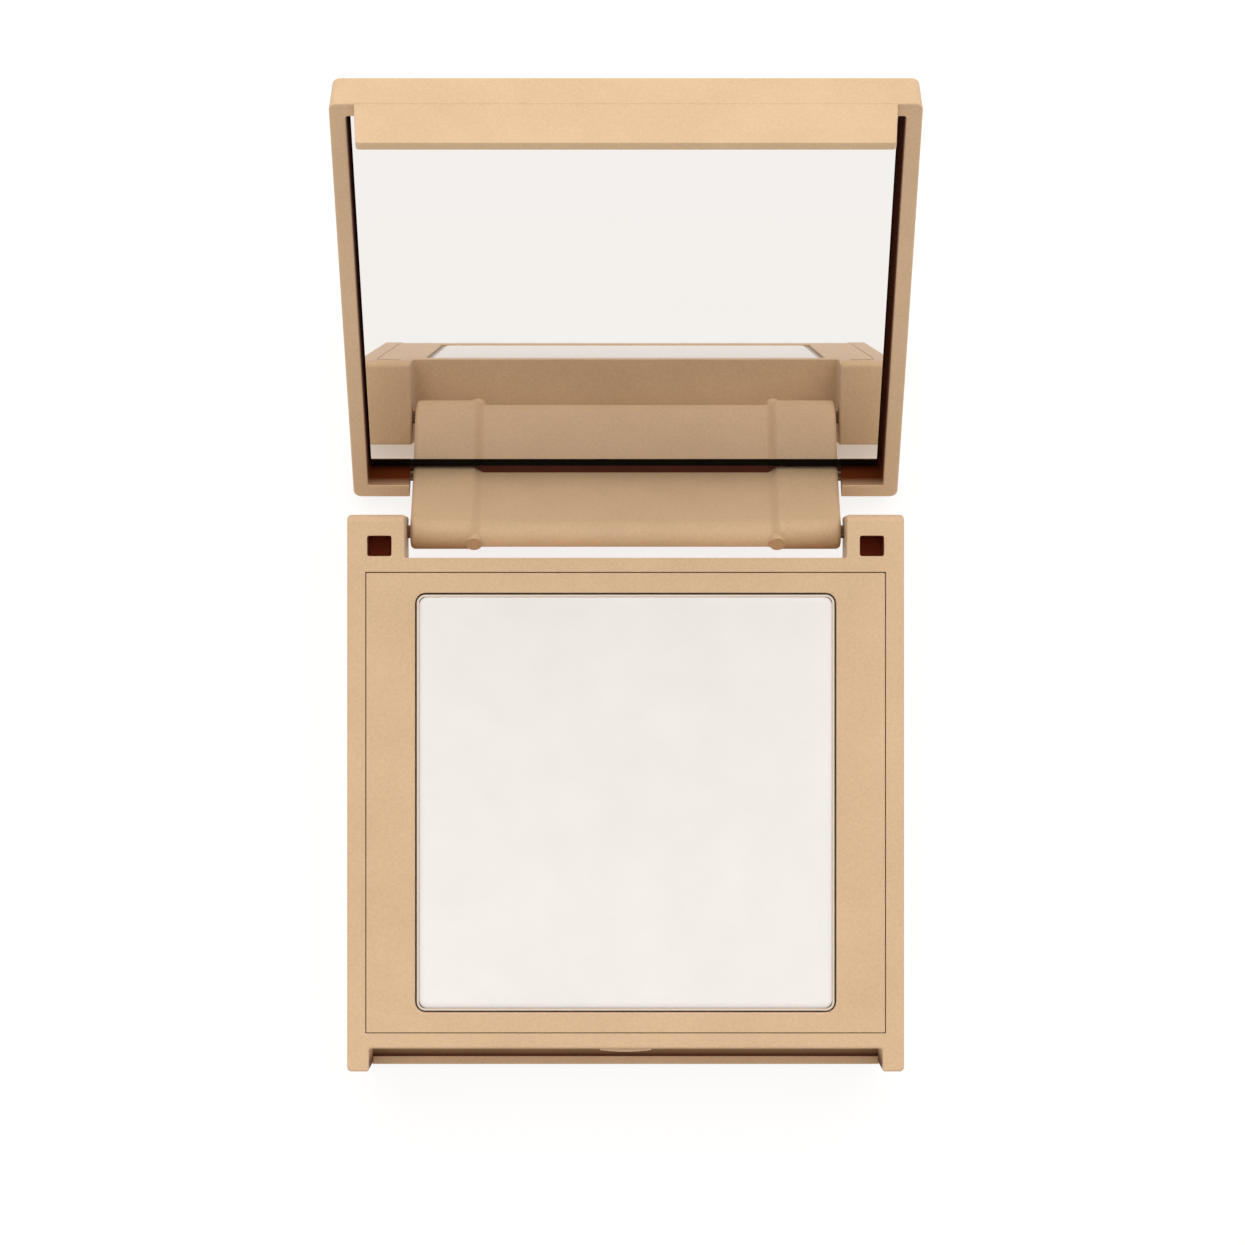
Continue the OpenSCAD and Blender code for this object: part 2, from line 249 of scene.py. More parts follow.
def soft_touch_plastic(name, shade_along=None, shade_from=0.0, shade_to=0.0, shade_hex="5A2408"):
    """Moulded ABS with a soft-touch lacquer over a spark-eroded texture. Given shade_along, the colour
    darkens with depth towards shade_hex as painted shade in holes and hollows, and the material has
    less sheen and gloss: shade_along is the way out, the two levels are heights along it, and the full
    painted shade lies below them."""
    grain_mm = 0.28     # the real grain is about 0.1 mm: drawn coarser, so that it shows
    mottle_mm = 9.0
    material, tree = new_material(name)
    place = add_node(tree, "ShaderNodeTexCoord").outputs["Object"]
    mottle = add_node(tree, "ShaderNodeTexNoise", {
        "Scale": per_mm(mottle_mm), "Detail": 3.0, "Roughness": 0.55}, {"Vector": place})
    grain = add_node(tree, "ShaderNodeTexNoise", {
        "Scale": per_mm(grain_mm), "Detail": 2.0, "Roughness": 0.6}, {"Vector": place})
    mixed = add_node(tree, "ShaderNodeMix", {"data_type": "FLOAT", "Factor": 0.6}, {
        "A": mottle.outputs["Fac"], "B": grain.outputs["Fac"]})
    ramp = add_node(tree, "ShaderNodeValToRGB", links={"Fac": mixed.outputs["Result"]})
    ramp.color_ramp.elements[0].position, ramp.color_ramp.elements[0].color = 0.3, linear("BB9A75")
    ramp.color_ramp.elements[1].position, ramp.color_ramp.elements[1].color = 0.7, linear("CBAA85")
    colour = ramp.outputs["Color"]
    # Painted shade: deeper in a hole or hollow, the colour fades to a dark brown.
    if shade_along:
        depth = add_node(tree, "ShaderNodeVectorMath", {"operation": "DOT_PRODUCT", 1: shade_along},
                         {0: place}).outputs["Value"]
        shade_fade = add_node(tree, "ShaderNodeMapRange", {
            "From Min": shade_to, "From Max": shade_from}, {"Value": depth}).outputs["Result"]
        colour = add_node(tree, "ShaderNodeMix", {
            "data_type": "RGBA", 6: linear(shade_hex)}, {0: shade_fade, 7: colour}).outputs[2]
    rough = add_node(tree, "ShaderNodeMapRange", {
        "From Min": 0.3, "From Max": 0.7, "To Min": 0.48, "To Max": 0.6},
        {"Value": grain.outputs["Fac"]})
    bump = add_node(tree, "ShaderNodeBump", {"Strength": 0.5, "Distance": 0.012 * MM},
                    {"Height": grain.outputs["Fac"]})
    shader = add_node(tree, "ShaderNodeBsdfPrincipled", {
        "IOR": 1.5, "Sheen Weight": 0.04 if shade_along else 0.16, "Sheen Roughness": 0.45,
        "Specular IOR Level": 0.1 if shade_along else 0.5, "Sheen Tint": linear("FAF0E6")},
        {"Base Color": colour, "Roughness": rough.outputs["Result"],
         "Normal": bump.outputs["Normal"]})
    set_output(tree, shader.outputs[0])
    return material


CASE_PLASTIC = soft_touch_plastic("soft-touch moulded ABS, tan")
print("made", CASE_PLASTIC.name)

# %% [markdown]
# ### Pressed powder
#
# The cake is talc and silica with a little off-white pigment, pressed through a cloth. It scatters
# nearly all the light that reaches it, so its roughness is 1 and it has no visible gloss. The press
# cloth and the grain of the powder leave a very shallow, uneven surface.


# %% Pressed powder
def pressed_powder():
    """Off-white pressed powder: fully matt, with a fine grain and a faint press mottle."""
    grain_mm = 0.22     # real grains are under 0.05 mm: drawn as clumps that can be seen
    press_mm = 7.0
    material, tree = new_material("pressed powder, off-white")
    place = add_node(tree, "ShaderNodeTexCoord").outputs["Object"]
    press = add_node(tree, "ShaderNodeTexNoise", {
        "Scale": per_mm(press_mm), "Detail": 4.0, "Roughness": 0.6}, {"Vector": place})
    grain = add_node(tree, "ShaderNodeTexNoise", {
        "Scale": per_mm(grain_mm), "Detail": 3.0, "Roughness": 0.7}, {"Vector": place})
    colour = add_node(tree, "ShaderNodeValToRGB", links={"Fac": press.outputs["Fac"]})
    ramp = colour.color_ramp
    ramp.elements[0].position, ramp.elements[0].color = 0.3, linear("DAD4CF")
    ramp.elements[1].position, ramp.elements[1].color = 0.7, linear("DED8D3")
    bump = add_node(tree, "ShaderNodeBump", {"Strength": 0.25, "Distance": 0.02 * MM},
                    {"Height": grain.outputs["Fac"]})
    shader = add_node(tree, "ShaderNodeBsdfPrincipled", {
        "Roughness": 1.0, "IOR": 1.3, "Specular IOR Level": 0.2, "Sheen Weight": 0.42,
        "Sheen Roughness": 0.6, "Sheen Tint": linear("FFFFFF")},
        {"Base Color": colour.outputs["Color"], "Normal": bump.outputs["Normal"]})
    set_output(tree, shader.outputs[0])
    return material


POWDER = pressed_powder()
print("made", POWDER.name)

# %% [markdown]
# ### Metals, mirror and the hidden materials
#
# The pan is drawn from thin aluminium and the pins are cut from drawn steel wire: both are plain
# metals whose roughness follows fine drawing lines. The mirror is float glass silvered behind. Its
# reflection is modelled on the front of the glass, as a smooth metal, because a reflection seen
# through a real glass plate costs many more samples and looks the same.


# %% Metals, mirror, paint, glue and tape
def drawn_metal(name, colour_hex, rough_low, rough_high, line_mm, along):
    """A drawn metal. Its fine lines run along one axis, and only the roughness follows them."""
    material, tree = new_material(name)
    place = add_node(tree, "ShaderNodeTexCoord").outputs["Object"]
    stretch = [1.0, 1.0, 1.0]
    stretch[along] = 0.04
    turned = add_node(tree, "ShaderNodeMapping", {"Scale": stretch}, {"Vector": place})
    lines = add_node(tree, "ShaderNodeTexNoise", {"Scale": per_mm(line_mm), "Detail": 2.0},
                     {"Vector": turned.outputs["Vector"]})
    rough = add_node(tree, "ShaderNodeMapRange", {"To Min": rough_low, "To Max": rough_high},
                     {"Value": lines.outputs["Fac"]})
    shader = add_node(tree, "ShaderNodeBsdfPrincipled", {
        "Base Color": linear(colour_hex), "Metallic": 1.0}, {"Roughness": rough.outputs["Result"]})
    set_output(tree, shader.outputs[0])
    return material


def speckled(name, dark_hex, pale_hex, roughness, grain_mm, metallic=0.0, specular=0.5):
    """A plain finish whose colour wanders between two close shades."""
    material, tree = new_material(name)
    place = add_node(tree, "ShaderNodeTexCoord").outputs["Object"]
    grain = add_node(tree, "ShaderNodeTexNoise", {"Scale": per_mm(grain_mm), "Detail": 3.0},
                     {"Vector": place})
    colour = add_node(tree, "ShaderNodeValToRGB", links={"Fac": grain.outputs["Fac"]})
    colour.color_ramp.elements[0].color = linear(dark_hex)
    colour.color_ramp.elements[1].color = linear(pale_hex)
    shader = add_node(tree, "ShaderNodeBsdfPrincipled", {
        "Roughness": roughness, "Metallic": metallic, "Specular IOR Level": specular},
        {"Base Color": colour.outputs["Color"]})
    set_output(tree, shader.outputs[0])
    return material


PAN_METAL = drawn_metal("drawn aluminium sheet, gold lacquered", "CFC1B1", 0.5, 0.65, 0.3, 0)
PIN_STEEL = drawn_metal("drawn steel wire, oiled black", "7C6048", 0.35, 0.5, 0.1, 0)
SILVERED = speckled("silvered float glass", "ECE9E6", "EEEBE8", 0.0, 30.0, metallic=1.0)
# Painted shade: the glass beyond the silver, its edges and its back are black for the dark hollow behind
# the mirror.
GLASS_PAINTED_AS_SHADE = speckled("unsilvered glass edge, painted black as shade", "030202", "060504", 0.2, 2.0, specular=0.06)
BACK_PAINT = speckled("mirror backing paint, grey", "5E6062", "6A6C6E", 0.5, 1.5)
HOT_MELT = speckled("hot-melt glue", "C8BE9C", "D6CDB0", 0.35, 1.2)
FOAM_TAPE = speckled("white foam tape", "E4E4DE", "F2F2EC", 0.8, 0.4)
print("made", len(bpy.data.materials), "materials")

# %% [markdown]
# ## Moulded parts
#
# No moulded edge is truly sharp: the cutter that made the mould left a small radius, and the lacquer
# softens it further. That radius catches the light and draws the outline of each part. A Bevel
# modifier could round the engineering solids, but it makes a poor job of corners where several
# radii meet. So each plastic part is lofted here: an outline with round corners is stacked in rings,
# and each side of the outline moves inward near the top and the bottom by its own edge radius. Pockets
# and holes are lofted in the same way with a flared mouth, and a Boolean modifier cuts them out.


# %% Outlines whose sides can be moved inward
SHARP = 0.01
CORNER_STEPS = 4
ROUND_STEPS = 4
QUARTER = math.radians(90)


def outline(corners, insets, heights):
    """An outline with round corners, after each side is moved inward and given its height.

    A corner is (x, y, upright radius, top radius, bottom radius); the last two belong to the side
    that starts there. Insets and heights have one value for each side."""
    points = []
    for i, corner in enumerate(corners):
        here = Vector(corner[:2])
        arriving = (here - Vector(corners[i - 1][:2])).normalized()
        leaving = (Vector(corners[(i + 1) % len(corners)][:2]) - here).normalized()
        tip = here + (arriving.orthogonal() * insets[i - 1]) + (leaving.orthogonal() * insets[i])
        turn = arriving.x * leaving.y - arriving.y * leaving.x
        radius = max(corner[2] - turn * (insets[i - 1] + insets[i]) / 2, SHARP)
        centre = tip + (leaving - arriving) * radius
        for step in range(CORNER_STEPS + 1):
            share = step / CORNER_STEPS
            angle = QUARTER * share
            spot = centre + radius * (arriving * math.sin(angle) - leaving * math.cos(angle))
            points.append((spot.x, spot.y, heights[i - 1] * (1 - share) + heights[i] * share))
    return points


def rounded_rings(corners, low, high, lean=None, beyond=0.0):
    """Rings from a flat bottom over round edges and a wall to a flat top. A negative top radius
    flares the mouth, lean moves each side inward with height, and beyond adds a ring above."""
    lean = lean or [0.0] * len(corners)
    rings = []
    for step in range(ROUND_STEPS + 1):
        sine, cosine = math.sin(QUARTER * step / ROUND_STEPS), math.cos(QUARTER * step / ROUND_STEPS)
        heights = [low + c[4] * (1 - cosine) for c in corners]
        insets = [c[4] * (1 - sine) + lean[i] * (heights[i] - low) for i, c in enumerate(corners)]
        rings.append(outline(corners, insets, heights))
    for step in range(ROUND_STEPS + 1):
        sine, cosine = math.sin(QUARTER * step / ROUND_STEPS), math.cos(QUARTER * step / ROUND_STEPS)
        heights = [high - abs(c[3]) * (1 - sine) for c in corners]
        insets = [c[3] * (1 - cosine) + lean[i] * (heights[i] - low) for i, c in enumerate(corners)]
        rings.append(outline(corners, insets, heights))
    if beyond:
        rings.append(outline(corners, insets, [high + beyond] * len(corners)))
    return rings


def rectangle(x0, x1, y0, y1, upright, top, bottom):
    """The four corners of a rectangle, with the same radii all round."""
    return [(x, y, upright, top, bottom) for x, y in ((x0, y0), (x1, y0), (x1, y1), (x0, y1))]


print("outline tools ready")


# %% From rings to pieces
def loft(name, rings, place):
    """A closed mesh through rings that have the same number of points each."""
    shape = bmesh.new()
    loops = [[shape.verts.new(place(*point)) for point in ring] for ring in rings]
    for lower, upper in zip(loops, loops[1:]):
        for i in range(len(lower)):
            j = (i + 1) % len(lower)
            shape.faces.new((lower[i], lower[j], upper[j], upper[i]))
    shape.faces.new(loops[-1])
    shape.faces.new(list(reversed(loops[0])))
    bmesh.ops.remove_doubles(shape, verts=shape.verts, dist=0.0005 * MM)
    mesh = bpy.data.meshes.new(name)
    shape.to_mesh(mesh)
    shape.free()
    return mesh


def in_case(x, y, z):
    """A point given in millimetres in the shared frame."""
    return Vector((x, y, z)) * MM


def new_piece(name, mesh, *materials):
    """A mesh object in the scene, with its materials in order."""
    piece = bpy.data.objects.new(name, mesh)
    for material in materials:
        piece.data.materials.append(material)
    bpy.context.scene.collection.objects.link(piece)
    return piece


def apply_modifiers(piece):
    """Makes the modifiers' result the piece's own mesh."""
    bpy.context.view_layer.update()
    graph = bpy.context.evaluated_depsgraph_get()
    mesh = bpy.data.meshes.new_from_object(piece.evaluated_get(graph))
    piece.modifiers.clear()
    piece.data = mesh


def combine(piece, joined=(), cut=()):
    """Joins meshes to a piece and cuts others out of it."""
    helpers = []
    for kind, meshes in (("UNION", joined), ("DIFFERENCE", cut)):
        for mesh in meshes:
            helper = new_piece("helper", mesh, *piece.data.materials)
            helpers.append(helper)
            boolean = piece.modifiers.new(kind.lower(), "BOOLEAN")
            boolean.operation = kind
            boolean.solver = "EXACT"
            boolean.object = helper
    apply_modifiers(piece)
    for helper in helpers:
        bpy.data.objects.remove(helper)


def smooth_edges(piece, crease=math.radians(40)):
    """Shades round strips smooth, keeps flat faces flat and real creases sharp."""
    shape = bmesh.new()
    shape.from_mesh(piece.data)
    bmesh.ops.remove_doubles(shape, verts=shape.verts, dist=0.001 * MM)
    bmesh.ops.dissolve_degenerate(shape, dist=0.0005 * MM, edges=shape.edges)
    shape.to_mesh(piece.data)
    shape.free()
    piece.data.shade_smooth()
    piece.data.set_sharp_from_angle(angle=crease)
    flat = piece.modifiers.new("flat faces", "WEIGHTED_NORMAL")
    flat.keep_sharp = True
    flat.weight = 50
    apply_modifiers(piece)
    print(piece.name, "has", len(piece.data.polygons), "faces")


def paint_inside(piece, number, inside):
    """Gives the material with that number to faces whose middle lies inside."""
    for face in piece.data.polygons:
        if inside(face.center / MM):
            face.material_index = number


def finish_piece(piece, body, slot, *nodes):
    """Says which body the piece rides on and hides the CAD nodes it stands for. The slot is not used."""
    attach(piece, body)
    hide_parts(*nodes)


print("piece tools ready")

# %% [markdown]
# ### Base
#
# The base is one moulding: a square case whose back is notched for the hinge link, which leaves an
# ear on each side, and whose front is cut back between two short arms. A low shelf with a lip closes
# the bottom of that recess, and a small catch tab stands on the rail behind it. Each ear has a square
# coring hole, because thick plastic sinks as it cools. Deep in the holes, and across the recess towards
# its lip, the colour is painted darker, as shade.

# %% Base shell
base_low, base_high = (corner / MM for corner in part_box("base_shell"))
HALF_W = base_high.x
FRONT_Y, BACK_Y = base_low.y, base_high.y
BASE_H = base_high.z
RECESS_X, RECESS_D = 29.5, 2.65
NOTCH_X, NOTCH_D = 25.4, 4.97
UPRIGHT = 0.5
EDGE = 0.28
BOTTOM_EDGE = 0.3
CRISP = 0.12
EAR_ROUND = 0.9
FLARE = 0.06
PAST = 1.0
NEAR = 0.02
SEAM = 0.1
SHELF_T, LIP_W, LIP_H = 0.8, 1.0, 1.5
HOLE_W, HOLE_D, HOLE_DEPTH = 2.8, 2.35, 5.8
HOLE_X, HOLE_Y = 28.3, BACK_Y - 3.6
POCKET_FLOOR = 1.2
PIN_REACH = 3.25
tray_low, tray_high = (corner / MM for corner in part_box("tray_insert"))
RAIL_Y = FRONT_Y + RECESS_D


def bore(radius, x0, x1, place):
    """A round bar along X, to cut a bore or to join, about a centre that place adds."""
    steps = 32
    ring = [(radius * math.cos(a), radius * math.sin(a))
            for a in (math.tau * step / steps for step in range(steps))]
    return loft("bore", [[(x, y, z) for y, z in ring] for x in (x0, x1)], place)


def base_outline():
    """The base seen from above, against the clock from its front left corner."""
    notch_y = BACK_Y - NOTCH_D
    inner = 0.2
    right = [(RECESS_X, FRONT_Y, 0.3, EDGE, BOTTOM_EDGE), (HALF_W, FRONT_Y, UPRIGHT, EDGE, BOTTOM_EDGE),
             (HALF_W, BACK_Y, UPRIGHT, EAR_ROUND, BOTTOM_EDGE), (NOTCH_X, BACK_Y, 0.3, CRISP, CRISP),
             (NOTCH_X, notch_y, 0.3, CRISP, CRISP)]
    left = [(-NOTCH_X, notch_y, 0.3, CRISP, CRISP), (-NOTCH_X, BACK_Y, 0.3, EAR_ROUND, BOTTOM_EDGE),
            (-HALF_W, BACK_Y, UPRIGHT, EDGE, BOTTOM_EDGE),
            (-HALF_W, FRONT_Y, UPRIGHT, EDGE, BOTTOM_EDGE), (-RECESS_X, FRONT_Y, 0.3, inner, SHARP)]
    rail = [(-RECESS_X, RAIL_Y, 0.3, EDGE, SHARP), (RECESS_X, RAIL_Y, 0.3, inner, SHARP)]
    return right + left + rail


def catch_tab():
    """The catch tab: a slice of a wide round disc with softened edges."""
    half_w, proud, end_proud, soft = 2.95, 0.43, 0.24, 0.12
    rise = proud - end_proud
    radius = (half_w ** 2 + rise ** 2) / (2 * rise)
    low, high, steps = BASE_H - 2.8, BASE_H - 0.8, 12
    rings = []
    for inset, z in ((soft, low), (0, low + soft), (0, high - soft), (soft, high)):
        reach = half_w - inset
        turn = math.asin(reach / radius)
        front = [(radius * math.sin(a), RAIL_Y - proud + inset + radius * (1 - math.cos(a)), z)
                 for a in (turn * (2 * step / steps - 1) for step in range(steps + 1))]
        rings.append([*front, (reach, RAIL_Y + 0.6, z), (-reach, RAIL_Y + 0.6, z)])
    return loft("catch_tab", rings, in_case)


def in_ear_hole(centre):
    """Whether a face's middle is on the wall or the floor of a coring hole."""
    return POCKET_FLOOR < centre.z < BASE_H - FLARE - 0.05 \
        and abs(abs(centre.x) - HOLE_X) < HOLE_W / 2 + NEAR \
        and abs(centre.y - HOLE_Y) < HOLE_D / 2 + NEAR


def in_recess(centre):
    """Whether a face's middle is in the front recess, behind its lip and off the catch tab."""
    on_tab = centre.z > BASE_H - 2.9 and centre.y < RAIL_Y - NEAR and abs(centre.x) < 3
    return FRONT_Y + LIP_W - 0.05 < centre.y < RAIL_Y + NEAR and abs(centre.x) < RECESS_X + NEAR \
        and SHELF_T - NEAR < centre.z < BASE_H - EDGE and not on_tab


def base_piece():
    """The base shell, with its shelf, lip and tab joined and its pocket, holes and bores cut."""
    overlap = 0.04
    skin = 0.004
    piece = new_piece("base_case", loft("base", rounded_rings(base_outline(), 0, BASE_H), in_case),
                      CASE_PLASTIC,
                      # Painted shade: dark reddish brown deep in the ear holes.
                      soft_touch_plastic("soft-touch moulded ABS, painted shade in the ear holes",
                                         (0, 0, 1), (BASE_H - 0.2) * MM, (BASE_H - 1.6) * MM,
                                         "A03C10"),
                      # Painted shade: the recess floor darkens towards the lip, darkest on the lip's
                      # back wall.
                      soft_touch_plastic("soft-touch moulded ABS, painted shade in the recess",
                                         (0, 1, 0), (FRONT_Y + LIP_W + 1.1) * MM,
                                         (FRONT_Y + LIP_W - 0.1) * MM))
    shelf = rectangle(-RECESS_X - overlap, RECESS_X + overlap, FRONT_Y + 0.03, RAIL_Y + overlap,
                      SHARP, SHARP, SHARP)
    lip = rectangle(-RECESS_X - overlap, RECESS_X + overlap, FRONT_Y + 0.02, FRONT_Y + LIP_W,
                    SHARP, CRISP, BOTTOM_EDGE)
    pocket = rectangle(tray_low.x - SEAM, tray_high.x + SEAM, tray_low.y - SEAM, tray_high.y + SEAM,
                       SEAM, -FLARE, SHARP)
    cut = [loft("pocket", rounded_rings(pocket, POCKET_FLOOR, BASE_H, beyond=PAST), in_case)]
    pin_low, pin_high = (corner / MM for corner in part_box("base_hinge_pin_left"))
    pin_middle = (pin_low + pin_high) / 2
    pin_radius = (pin_high.z - pin_low.z) / 2 + 0.01
    for side in (-1, 1):
        hole = rectangle(side * HOLE_X - HOLE_W / 2, side * HOLE_X + HOLE_W / 2,
                         HOLE_Y - HOLE_D / 2, HOLE_Y + HOLE_D / 2, 0.25, -FLARE, SHARP)
        rings = rounded_rings(hole, BASE_H - HOLE_DEPTH, BASE_H, beyond=PAST)
        cut.append(loft("hole", rings, in_case))
        ends = sorted((side * (NOTCH_X - PAST), side * (NOTCH_X + PIN_REACH)))
        cut.append(bore(pin_radius, *ends,
                        lambda x, y, z: in_case(x, pin_middle.y + y, pin_middle.z + z)))
    combine(piece, [loft("shelf", rounded_rings(shelf, skin, SHELF_T), in_case),
                    loft("lip", rounded_rings(lip, skin, LIP_H), in_case), catch_tab()], cut)
    smooth_edges(piece)
    # Painted shade on the walls and floors of the ear holes.
    paint_inside(piece, 1, in_ear_hole)
    # Painted shade in the front recess.
    paint_inside(piece, 2, in_recess)
    return piece


finish_piece(base_piece(), "base", "case_plastic", "base_shell")

# %% Tray
WINDOW_W, WINDOW_D, WINDOW_R = 48.4, 48.2, 1.2
TRAY_T = 1.2
WELL_WALL = 0.8


def tray_piece():
    """The press-in tray: a plate with a well under it, and the pan window cut through the plate."""
    middle = (tray_low.y + tray_high.y) / 2
    plate = rectangle(tray_low.x, tray_high.x, tray_low.y, tray_high.y, 0.15, FLARE, FLARE)
    half_w, half_d = WINDOW_W / 2 + WELL_WALL, WINDOW_D / 2 + WELL_WALL
    well = rectangle(-half_w, half_w, middle - half_d, middle + half_d, 2.0, SHARP, EDGE)
    window = rectangle(-WINDOW_W / 2, WINDOW_W / 2, middle - WINDOW_D / 2, middle + WINDOW_D / 2,
                       WINDOW_R, -CRISP, SHARP)
    plate_mesh = loft("tray", rounded_rings(plate, BASE_H - TRAY_T, BASE_H), in_case)
    piece = new_piece("tray_plate", plate_mesh, CASE_PLASTIC)
    top_of_well = BASE_H - TRAY_T + 0.1
    well_mesh = loft("well", rounded_rings(well, tray_low.z, top_of_well), in_case)
    window_rings = rounded_rings(window, tray_low.z + WELL_WALL, BASE_H, beyond=PAST)
    combine(piece, [well_mesh], [loft("window", window_rings, in_case)])
    smooth_edges(piece)
    return piece


finish_piece(tray_piece(), "base", "case_plastic", "tray_insert")

# %% [markdown]
# ### Powder cake
#
# A press squeezes the loose powder into its pan through a cloth. The cake ends up nearly flat, with a
# soft shoulder where the die stops short of the pan's wall. Its surface keeps the faint waves of the
# cloth. The cake is lofted in rings up its shoulder and on across its flat top, closing in on the
# middle.

# %% Powder cake
powder_low, powder_high = (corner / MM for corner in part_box("powder_cake"))


def powder_mesh():
    """Rings that rise from the pan's floor over a soft shoulder, then close in on the middle."""
    corner_radius, shoulder, drop, steps = 0.95, 0.75, 0.32, 8
    middle = (powder_low + powder_high) / 2
    half_w, half_d = (powder_high.x - powder_low.x) / 2, (powder_high.y - powder_low.y) / 2
    rings = []

    def ring(inset, z):
        corners = rectangle(middle.x - half_w, middle.x + half_w, middle.y - half_d, middle.y + half_d,
                            corner_radius, 0, 0)
        rings.append(outline(corners, [inset] * 4, [z] * 4))
    ring(0.0, powder_low.z)
    for step in range(steps + 1):
        angle = QUARTER * step / steps
        ring(shoulder * (1 - math.cos(angle)), powder_high.z - drop * (1 - math.sin(angle)))
    for inset in (1.2, 2.5, 6.0, 12.0, 18.0, 22.0):
        ring(inset, powder_high.z)
    mesh = loft("powder_cake", rings, in_case)
    mesh.shade_smooth()
    return mesh


powder_piece = new_piece("pressed_cake", powder_mesh(), POWDER)
finish_piece(powder_piece, "base", "powder", "powder_cake")
print("powder top at, mm:", round(powder_high.z, 2))

# %% [markdown]
# ### Lid directions
#
# The open lid leans, so its pieces are drawn in its own directions: x across it, s along it from the
# hinge end to the front, and t up out of its hollow, with t = 0 at the rim. The frame gives both
# directions: the broad face of the mirror faces along t.

# %% Lid directions
glass = NODES["mirror_glass"].data
front_face = max(glass.polygons, key=lambda face: face.area)
INWARD = front_face.normal * (1 if front_face.normal.z > 0 else -1)
ALONG = INWARD.cross(Vector((1, 0, 0)))


def spans(node):
    """Lowest and highest x, distance along the lid and height, over a node's points, in mm."""
    points = [(v.co.x / MM, v.co.dot(ALONG) / MM, v.co.dot(INWARD) / MM)
              for v in NODES[node].data.vertices]
    return [(min(p[i] for p in points), max(p[i] for p in points)) for i in range(3)]


(_, _), (S_START, S_END), (T_OUTER, T_FLAP) = spans("lid_shell")
LID_LEN = S_END - S_START
LID_T = 4.5
FLAP_H = T_FLAP - T_OUTER - LID_T


def in_lid(x, s, t):
    """A point given in millimetres in the lid's own directions."""
    return (Vector((x, 0, 0)) + ALONG * (S_START + s) + INWARD * (T_OUTER + LID_T + t)) * MM


def to_lid(point):
    """A point of the shared frame, in millimetres, in the lid's own directions."""
    return point.x, point.dot(ALONG) - S_START, point.dot(INWARD) - T_OUTER - LID_T


print("lid rises at", round(math.degrees(math.asin(ALONG.z)), 2), "degrees; flap, mm:", round(FLAP_H, 2))

# %% [markdown]
# ### Lid
#
# The lid is a shallow tray with a thin flap along its front, which closes over the recess of the
# base and catches on the tab. Its sides lean in by a quarter of a millimetre so that it leaves the
# mould. The flap is let in a few hundredths of a millimetre behind the front face, which leaves the
# fine line that is seen between the two.

# %% Lid shell
DRAFT = 0.25
LID_UPRIGHT, LID_EDGE = 0.8, 0.5
SKIN_T = 1.0
RIM_SIDE, RIM_FRONT, RIM_HINGE = 1.75, 1.84, 1.87
LINK_NOTCH_S, LINK_NOTCH_DEPTH = 2.35, 3.95
FLAP_X, FLAP_TIP_X, FLAP_T = 29.3, 28.85, 1.13
LET_IN = 0.08
BEAD_R, BEAD_X, BEAD_T = 0.6, 3.0, 3.7
LID_PIN_S, LID_PIN_T, LID_PIN_R = 0.9, -2.6, 0.61


